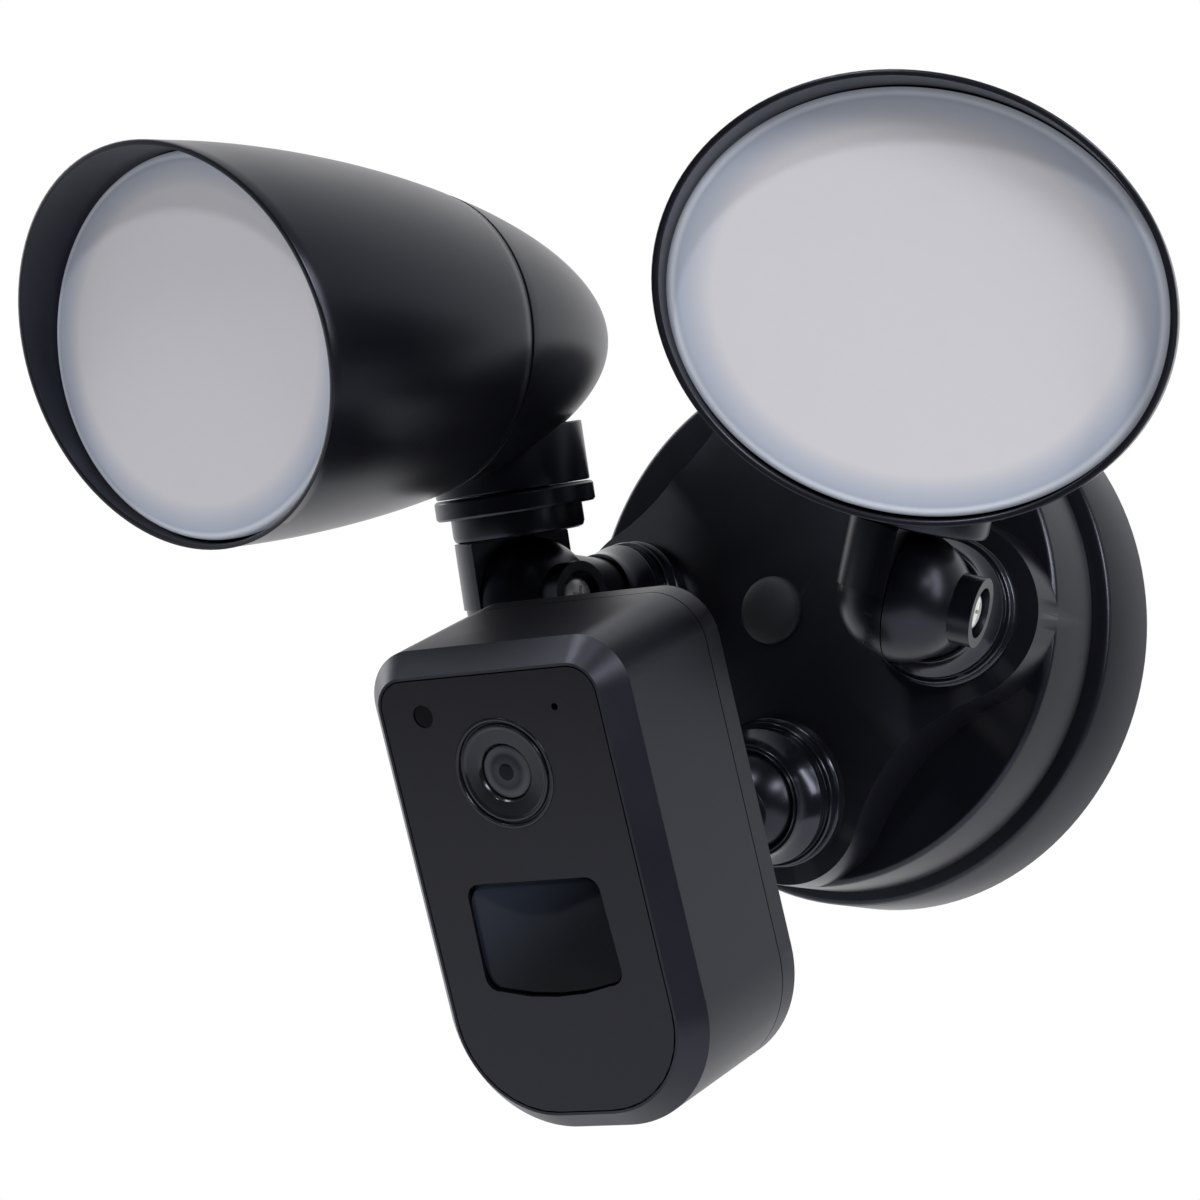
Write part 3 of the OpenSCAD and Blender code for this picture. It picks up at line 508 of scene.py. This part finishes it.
def make_eye():
    """Ring with a thin groove round a flat disc, stepping down to the glass."""
    place = module_frame() @ shift(0, 0, EYE_Z)
    profile = soften([(EYE_R, -2.2), (EYE_R, 0.12), (11.5, 0.12), (11.2, -0.6), (10.9, -0.6), (10.6, 0.05),
                      (10.0, 0.05), (9.6, -0.25), (6.6, -0.3), (6.15, -0.9), (6.1, -2.2)], 0.12, steps=3)
    finish_piece("eye_ring", *lathe(profile, TURNS), place, ring_gloss, "camera_body", ["lens_ring"],
                 "black_plastic", smooth=35)
    dome = [(GLASS_R * math.sin(a), GLASS_DOME * math.cos(a) - GLASS_TOP - GLASS_DOME)
            for a in [math.radians(10 * i) for i in range(1, 10)]]
    pupil = [(0.0, -GLASS_TOP)] + dome + [(GLASS_R, -GLASS_BACK), (0.0, -GLASS_BACK)]
    eye = finish_piece("eye_glass", *lathe(pupil, GLASS_TURNS, closed=False), place, glass, "camera_body",
                       ["lens_glass"], "lens_glass", smooth=60)
    mark_points(eye, "ring", place, lambda x, z: math.hypot(x, z) / GLASS_R)


def window_edge(a):
    """Distance from the window's middle to its edge at angle a: a rounded box that swells at the bottom."""
    squareness, swell = 5.5, 0.05
    reach = (abs(math.cos(a) / (WINDOW_W / 2)) ** squareness
             + abs(math.sin(a) / (WINDOW_H / 2)) ** squareness) ** (-1 / squareness)
    return reach * (1 + swell * max(0.0, -math.sin(a)) ** 8)


def make_window():
    """Glossy motion window, gently domed, with a straight skirt round it."""
    place = module_frame() @ shift(0, 0, WINDOW_Z)
    reaches = [0.0, 0.15, 0.3, 0.45, 0.6, 0.72, 0.82, 0.9, 0.95, 0.975, 1.0]
    rows = [(f, WINDOW_IN - WINDOW_DOME * (1 - f ** 2.2)) for f in reaches] + [(1.0, WINDOW_BACK)]
    verts = []
    for a in angles(TURNS):
        e = window_edge(a) - WINDOW_GAP
        verts += [(f * e * math.cos(a), y, f * e * math.sin(a)) for f, y in rows]
    piece = finish_piece("motion_window", verts, ring_faces(TURNS, len(rows), closed=False), place, window,
                         "camera_body", ["pir_window"], "dark_window", smooth=50)
    # Painted reflection: the bluish tint grows towards one top corner of the window.
    mark_points(piece, "painted_reflection", place, lambda x, z: 0.5 + 0.5 * (z / WINDOW_H - x / WINDOW_W))


make_eye()
make_window()


# ---------- camera, light and floor ----------

RIGHT = Vector((0.8395, 0.5412, 0.0487)).normalized()
UP = Vector((0.0138, -0.1108, 0.9937))
UP = (UP - RIGHT * UP.dot(RIGHT)).normalized()
BACK = RIGHT.cross(UP)
VIEW_FROM = Vector((0.564, -1.0002, -0.110))
FOCAL_LENGTH = 144.4
camera_data = bpy.data.cameras.new("view")
camera_data.sensor_width = 36.0
camera_data.lens = FOCAL_LENGTH
camera_data.clip_start = 0.05
camera_data.clip_end = 50
camera = bpy.data.objects.new("view", camera_data)
camera.matrix_world = Matrix.Translation(VIEW_FROM) @ Matrix((RIGHT, UP, BACK)).transposed().to_4x4()
bpy.context.scene.collection.objects.link(camera)
bpy.context.scene.camera = camera

# White to the camera from every side. As light and in reflections it is white behind the object, seen from
# the front, and dim on the viewer's side, so that black stays black.
ROOM_DIM, BACKDROP = 0.024, 1.0
world = bpy.data.worlds.new("studio")
world.use_nodes = True
sky = world.node_tree
toward = sky.nodes.new("ShaderNodeTexCoord")
facing = sky.nodes.new("ShaderNodeVectorMath")
facing.operation = "DOT_PRODUCT"
facing.inputs[1].default_value = -BACK
room = sky.nodes.new("ShaderNodeValToRGB")
room.color_ramp.elements[0].position = 0.35
room.color_ramp.elements[0].color = (ROOM_DIM * 0.92, ROOM_DIM * 0.97, ROOM_DIM * 1.3, 1)
room.color_ramp.elements[1].position = 0.9
room.color_ramp.elements[1].color = (BACKDROP, BACKDROP, BACKDROP, 1)
spread = sky.nodes.new("ShaderNodeMapRange")
spread.inputs["From Min"].default_value = -1.0
sky.links.new(toward.outputs["Generated"], facing.inputs[0])
sky.links.new(facing.outputs["Value"], spread.inputs["Value"])
sky.links.new(spread.outputs["Result"], room.inputs["Fac"])
paths = sky.nodes.new("ShaderNodeLightPath")
seen = sky.nodes.new("ShaderNodeMix")
seen.data_type = "RGBA"
seen.inputs["B"].default_value = (BACKDROP, BACKDROP, BACKDROP, 1)
sky.links.new(paths.outputs["Is Camera Ray"], seen.inputs["Factor"])
sky.links.new(room.outputs["Color"], seen.inputs["A"])
sky.links.new(seen.outputs["Result"], sky.nodes["Background"].inputs["Color"])
bpy.context.scene.world = world
bpy.context.scene.view_settings.view_transform = "Standard"


middle = (cad_box[0] + cad_box[1]) / 2


def softbox(name, at, size, power):
    data = bpy.data.lights.new(name, "AREA")
    data.shape = "RECTANGLE"
    data.size, data.size_y = size
    data.energy = power
    lamp = bpy.data.objects.new(name, data)
    lamp.location = at
    lamp.rotation_mode = "QUATERNION"
    lamp.rotation_quaternion = (middle - Vector(at)).to_track_quat("-Z", "Y")
    bpy.context.scene.collection.objects.link(lamp)


softbox("key", (-0.7, -0.9, 1.5), (0.45, 0.45), 9)
softbox("strip_right", (1.6, -0.2, 0.5), (0.2, 1.3), 7)
softbox("strip_left", (-1.5, 0.1, 0.6), (0.25, 1.2), 5)
softbox("front_right", (1.8, -1.1, 0.9), (0.7, 0.7), 24)
softbox("spark", (0.1, -1.5, 0.9), (0.12, 0.12), 6)

FLOOR_DROP, FLOOR_REACH = 0.5, 0.9
low = cad_box[0].z - FLOOR_DROP
floor_mesh = bpy.data.meshes.new("floor")
corners = [(-1, -1), (1, -1), (1, 1), (-1, 1)]
floor_mesh.from_pydata([(x * FLOOR_REACH, y * FLOOR_REACH, low) for x, y in corners], [], [(0, 1, 2, 3)])
floor = bpy.data.objects.new("floor", floor_mesh)
floor_paint = material("studio_floor", (0.85, 0.85, 0.85), rough=0.8, tint=0.01, bump=0.0)
floor_mesh.materials.append(floor_paint)
bpy.context.scene.collection.objects.link(floor)
